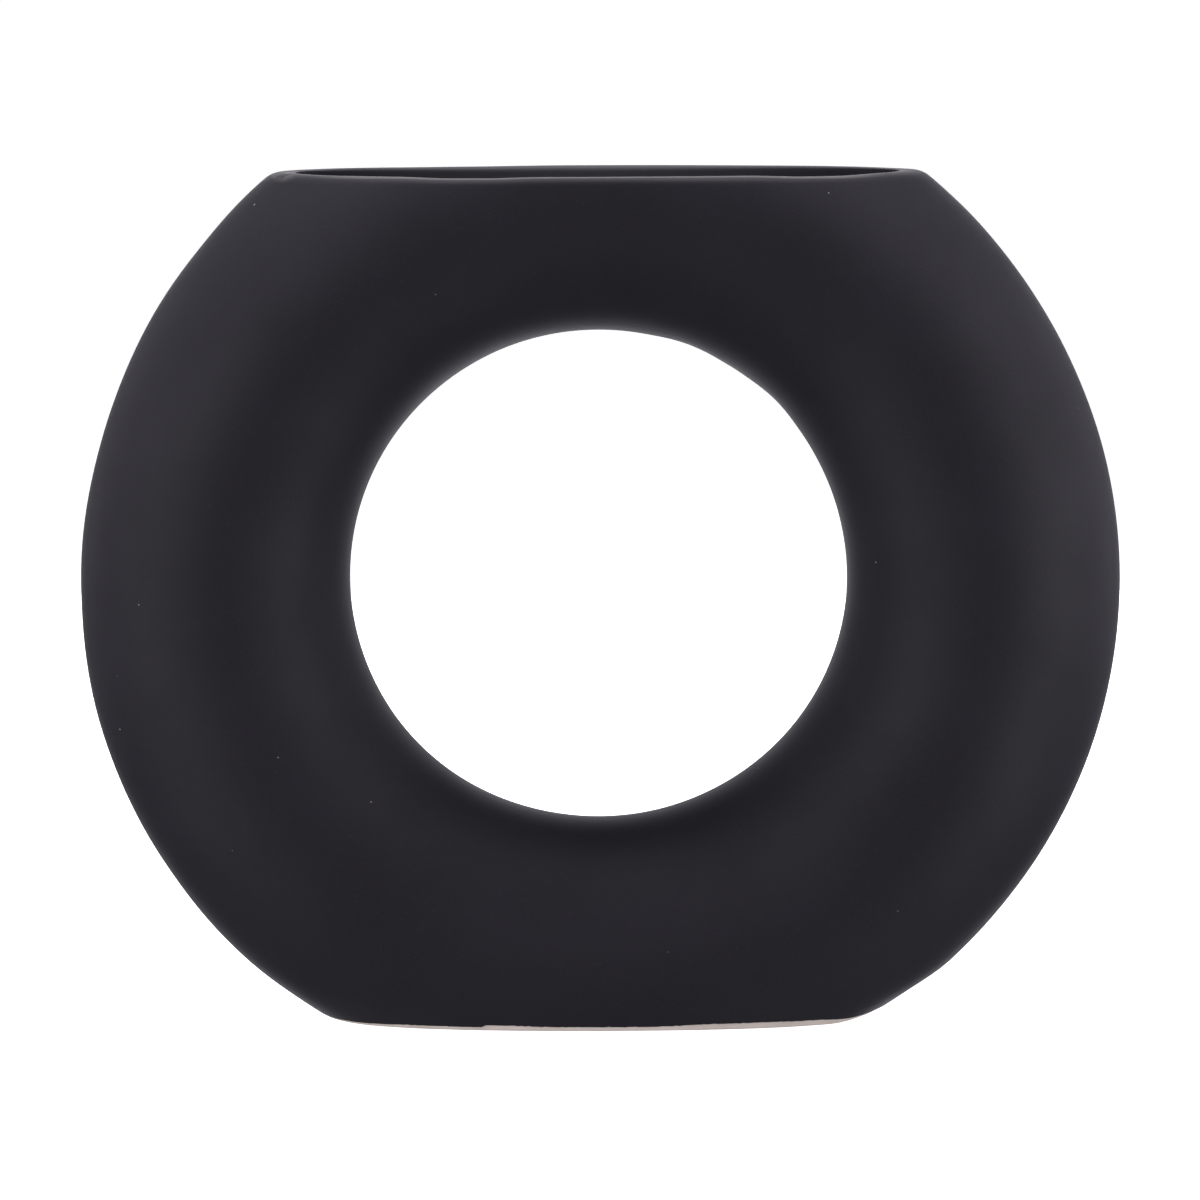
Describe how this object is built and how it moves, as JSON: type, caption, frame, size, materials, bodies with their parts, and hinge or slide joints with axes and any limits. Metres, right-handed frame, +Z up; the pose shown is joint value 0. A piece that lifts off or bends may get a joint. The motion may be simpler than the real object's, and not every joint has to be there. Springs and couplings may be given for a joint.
{
  "type": "donut vase",
  "caption": "Hollow ceramic ring vase that stands on edge, with an oval open mouth cut across its flat top, a round hole through its middle and a flat unglazed foot.",
  "frame": {"origin": "middle of the foot's underside, on the surface the vase stands on", "axes": "+X across the ring, +Y from front to back along the ring's axis, +Z up"},
  "size_m": [0.3049, 0.08, 0.2486],
  "materials": {
    "bare_clay": "fired clay, unglazed",
    "black_glaze": "matte black glaze",
    "lining_glaze": "matte black glaze"
  },
  "bodies": {
    "root": {"clay_body": "bare_clay", "outer_glaze": "black_glaze", "inner_glaze": "lining_glaze"}
  },
  "joints": []
}
